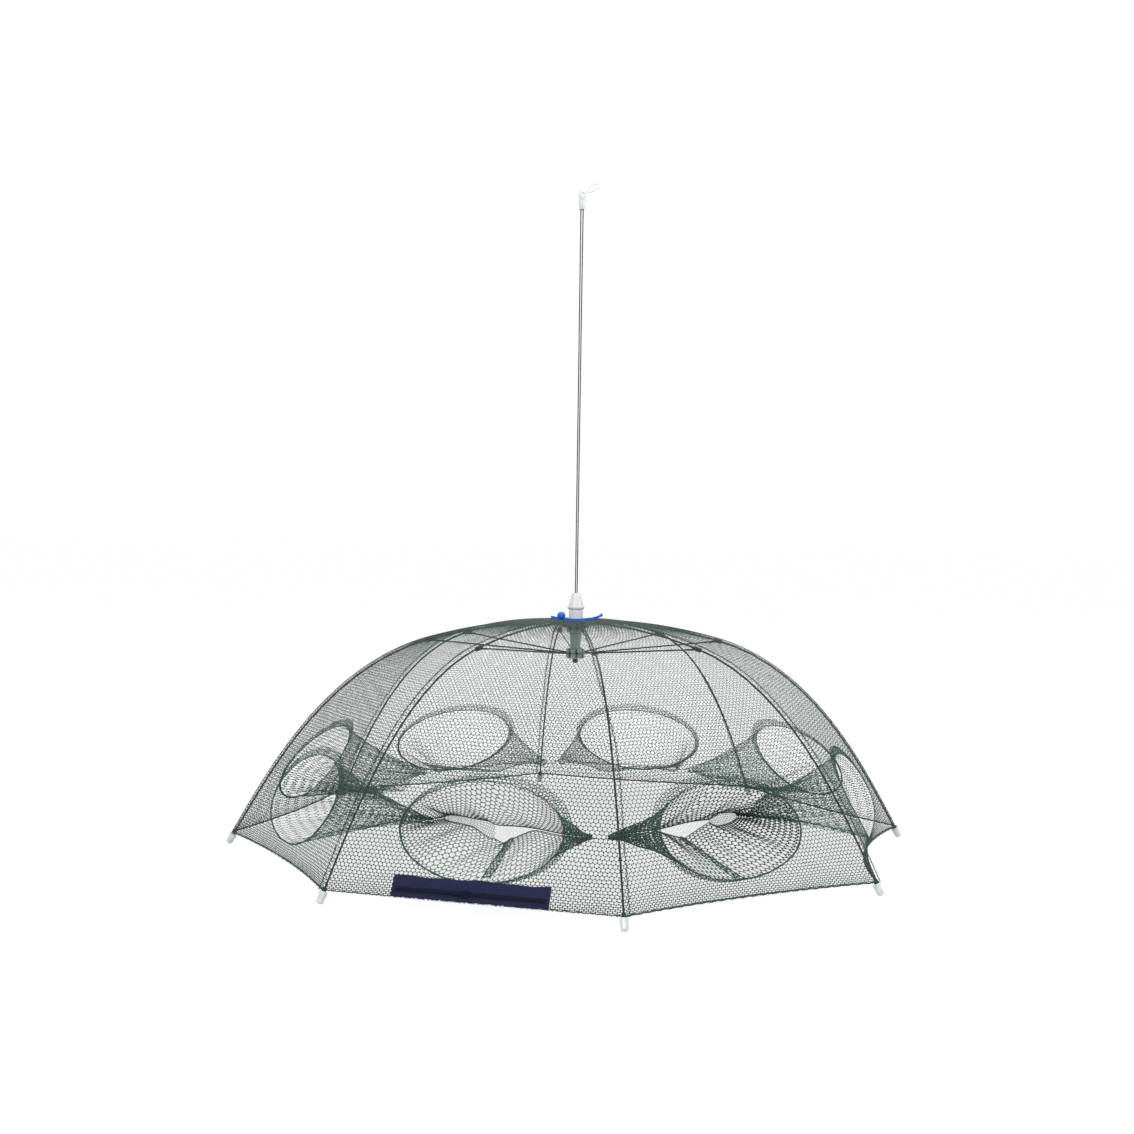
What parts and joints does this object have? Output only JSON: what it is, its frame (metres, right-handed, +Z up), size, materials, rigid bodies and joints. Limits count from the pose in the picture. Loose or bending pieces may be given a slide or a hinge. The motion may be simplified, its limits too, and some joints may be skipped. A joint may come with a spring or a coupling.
{
  "type": "baitfish trap",
  "caption": "Umbrella style baitfish trap: sprung ribs fold about a crown, netting with funnel entrances, a zip, and a doubled pull cord with a hanging clip.",
  "frame": {"origin": "on the ground under the crown, in the middle of the eight feet", "axes": "+Z up along the pull cord; -Y to the front, towards rib 1; +X to the right when seen from the front"},
  "size_m": [0.964, 0.964, 0.9273],
  "materials": {
    "black_rod": "black coated spring rod, satin",
    "black_moulding": "black, moulded",
    "smoky_moulding": "smoky grey-green, moulded",
    "white_moulding": "white, moulded",
    "milky_moulding": "milky, slightly see-through",
    "steel_wire": "bright wire",
    "blue_rubber": "blue, soft",
    "green_netting": "dark green knotted netting",
    "green_cord": "dark green twisted cord",
    "navy_tape": "navy woven zip tape",
    "navy_slider": "navy enamel"
  },
  "bodies": {
    "crown": {"crown_hub": "smoky_moulding", "crown_cap": "white_moulding", "crown_ring_wire": "steel_wire", "tie_strap": "blue_rubber", "net_canopy": "green_netting", "net_floor": "green_netting", "entrance_funnel_1": "green_netting", "entrance_funnel_2": "green_netting", "entrance_funnel_3": "green_netting", "entrance_funnel_4": "green_netting", "entrance_funnel_5": "green_netting", "entrance_funnel_6": "green_netting", "entrance_funnel_7": "green_netting", "entrance_funnel_8": "green_netting", "throat_cord": "green_cord"},
    "rib_1": {"rib_1": "black_rod", "rib_bracket_1": "black_moulding", "tip_cap_1": "milky_moulding"},
    "rib_2": {"rib_2": "black_rod", "rib_bracket_2": "black_moulding", "tip_cap_2": "milky_moulding"},
    "rib_3": {"rib_3": "black_rod", "rib_bracket_3": "black_moulding", "tip_cap_3": "milky_moulding"},
    "rib_4": {"rib_4": "black_rod", "rib_bracket_4": "black_moulding", "tip_cap_4": "milky_moulding"},
    "rib_5": {"rib_5": "black_rod", "rib_bracket_5": "black_moulding", "tip_cap_5": "milky_moulding"},
    "rib_6": {"rib_6": "black_rod", "rib_bracket_6": "black_moulding", "tip_cap_6": "milky_moulding"},
    "rib_7": {"rib_7": "black_rod", "rib_bracket_7": "black_moulding", "tip_cap_7": "milky_moulding"},
    "rib_8": {"rib_8": "black_rod", "rib_bracket_8": "black_moulding", "tip_cap_8": "milky_moulding"},
    "stretcher_1": {"stretcher_1": "black_rod"},
    "stretcher_2": {"stretcher_2": "black_rod"},
    "stretcher_3": {"stretcher_3": "black_rod"},
    "stretcher_4": {"stretcher_4": "black_rod"},
    "stretcher_5": {"stretcher_5": "black_rod"},
    "stretcher_6": {"stretcher_6": "black_rod"},
    "stretcher_7": {"stretcher_7": "black_rod"},
    "stretcher_8": {"stretcher_8": "black_rod"},
    "runner": {"runner": "smoky_moulding", "runner_ring_wire": "steel_wire", "pull_cord_left": "green_cord", "pull_cord_right": "green_cord", "cord_knot": "green_cord", "cord_ferrule": "milky_moulding", "hanging_clip": "white_moulding"},
    "zip": {"zip_tape": "navy_tape"},
    "zip_slider": {"zip_slider": "navy_slider"},
    "zip_pull": {"zip_pull": "navy_slider"}
  },
  "joints": [
    {"name": "rib_1_fold", "type": "hinge", "parent": "crown", "child": "rib_1", "pos_m": [0, -0.0105, 0.30178], "axis": [1, 0, 0], "range_deg": [0, 56], "deforming": ["net_canopy", "net_floor", "entrance_funnel_1", "entrance_funnel_2", "entrance_funnel_3", "entrance_funnel_4", "entrance_funnel_5", "entrance_funnel_6", "entrance_funnel_7", "entrance_funnel_8", "throat_cord"]},
    {"name": "rib_2_fold", "type": "hinge", "parent": "crown", "child": "rib_2", "pos_m": [0.00743, -0.00743, 0.30178], "axis": [0.7071, 0.7071, 0], "range_deg": [0, 56]},
    {"name": "rib_3_fold", "type": "hinge", "parent": "crown", "child": "rib_3", "pos_m": [0.0105, 0, 0.30178], "axis": [0, 1, 0], "range_deg": [0, 56]},
    {"name": "rib_4_fold", "type": "hinge", "parent": "crown", "child": "rib_4", "pos_m": [0.00743, 0.00743, 0.30178], "axis": [-0.7071, 0.7071, 0], "range_deg": [0, 56]},
    {"name": "rib_5_fold", "type": "hinge", "parent": "crown", "child": "rib_5", "pos_m": [0, 0.0105, 0.30178], "axis": [-1, 0, 0], "range_deg": [0, 56]},
    {"name": "rib_6_fold", "type": "hinge", "parent": "crown", "child": "rib_6", "pos_m": [-0.00743, 0.00743, 0.30178], "axis": [-0.7071, -0.7071, 0], "range_deg": [0, 56]},
    {"name": "rib_7_fold", "type": "hinge", "parent": "crown", "child": "rib_7", "pos_m": [-0.0105, 0, 0.30178], "axis": [0, -1, 0], "range_deg": [0, 56]},
    {"name": "rib_8_fold", "type": "hinge", "parent": "crown", "child": "rib_8", "pos_m": [-0.00743, -0.00743, 0.30178], "axis": [0.7071, -0.7071, 0], "range_deg": [0, 56]},
    {"name": "stretcher_1_swing", "type": "hinge", "parent": "rib_1", "child": "stretcher_1", "pos_m": [0, -0.20502, 0.28377], "axis": [-1, 0, 0], "range_deg": [0, 112]},
    {"name": "stretcher_2_swing", "type": "hinge", "parent": "rib_2", "child": "stretcher_2", "pos_m": [0.14497, -0.14497, 0.28377], "axis": [-0.7071, -0.7071, 0], "range_deg": [0, 112]},
    {"name": "stretcher_3_swing", "type": "hinge", "parent": "rib_3", "child": "stretcher_3", "pos_m": [0.20502, 0, 0.28377], "axis": [0, -1, 0], "range_deg": [0, 112]},
    {"name": "stretcher_4_swing", "type": "hinge", "parent": "rib_4", "child": "stretcher_4", "pos_m": [0.14497, 0.14497, 0.28377], "axis": [0.7071, -0.7071, 0], "range_deg": [0, 112]},
    {"name": "stretcher_5_swing", "type": "hinge", "parent": "rib_5", "child": "stretcher_5", "pos_m": [0, 0.20502, 0.28377], "axis": [1, 0, 0], "range_deg": [0, 112]},
    {"name": "stretcher_6_swing", "type": "hinge", "parent": "rib_6", "child": "stretcher_6", "pos_m": [-0.14497, 0.14497, 0.28377], "axis": [0.7071, 0.7071, 0], "range_deg": [0, 112]},
    {"name": "stretcher_7_swing", "type": "hinge", "parent": "rib_7", "child": "stretcher_7", "pos_m": [-0.20502, 0, 0.28377], "axis": [0, 1, 0], "range_deg": [0, 112]},
    {"name": "stretcher_8_swing", "type": "hinge", "parent": "rib_8", "child": "stretcher_8", "pos_m": [-0.14497, -0.14497, 0.28377], "axis": [-0.7071, 0.7071, 0], "range_deg": [0, 112]},
    {"name": "runner_level", "type": "hinge", "parent": "stretcher_1", "child": "runner", "pos_m": [0, -0.0105, 0.26576], "axis": [1, 0, 0], "range_deg": [0, 56]},
    {"name": "zip_gore_fold", "type": "hinge", "parent": "crown", "child": "zip", "pos_m": [-0.00402, -0.0097, 0.30178], "axis": [0.9239, -0.3827, 0], "range_deg": [0, 56], "deforming": ["zip_tape"]},
    {"name": "zip_slide", "type": "slide", "parent": "zip", "child": "zip_slider", "axis": [0.9239, -0.3827, 0], "range_m": [-0.0785, 0.0895]},
    {"name": "zip_pull_swing", "type": "hinge", "parent": "zip_slider", "child": "zip_pull", "pos_m": [-0.17401, -0.40416, 0.0259], "axis": [0.1754, 0.4236, 0.8887], "range_deg": [0, 160]}
  ],
  "couplings": [
    {"joint": "rib_2_fold", "follows": "rib_1_fold", "ratio": 1},
    {"joint": "rib_3_fold", "follows": "rib_1_fold", "ratio": 1},
    {"joint": "rib_4_fold", "follows": "rib_1_fold", "ratio": 1},
    {"joint": "rib_5_fold", "follows": "rib_1_fold", "ratio": 1},
    {"joint": "rib_6_fold", "follows": "rib_1_fold", "ratio": 1},
    {"joint": "rib_7_fold", "follows": "rib_1_fold", "ratio": 1},
    {"joint": "rib_8_fold", "follows": "rib_1_fold", "ratio": 1},
    {"joint": "stretcher_1_swing", "follows": "rib_1_fold", "ratio": 2},
    {"joint": "stretcher_2_swing", "follows": "rib_1_fold", "ratio": 2},
    {"joint": "stretcher_3_swing", "follows": "rib_1_fold", "ratio": 2},
    {"joint": "stretcher_4_swing", "follows": "rib_1_fold", "ratio": 2},
    {"joint": "stretcher_5_swing", "follows": "rib_1_fold", "ratio": 2},
    {"joint": "stretcher_6_swing", "follows": "rib_1_fold", "ratio": 2},
    {"joint": "stretcher_7_swing", "follows": "rib_1_fold", "ratio": 2},
    {"joint": "stretcher_8_swing", "follows": "rib_1_fold", "ratio": 2},
    {"joint": "runner_level", "follows": "rib_1_fold", "ratio": 1},
    {"joint": "zip_gore_fold", "follows": "rib_1_fold", "ratio": 1}
  ]
}
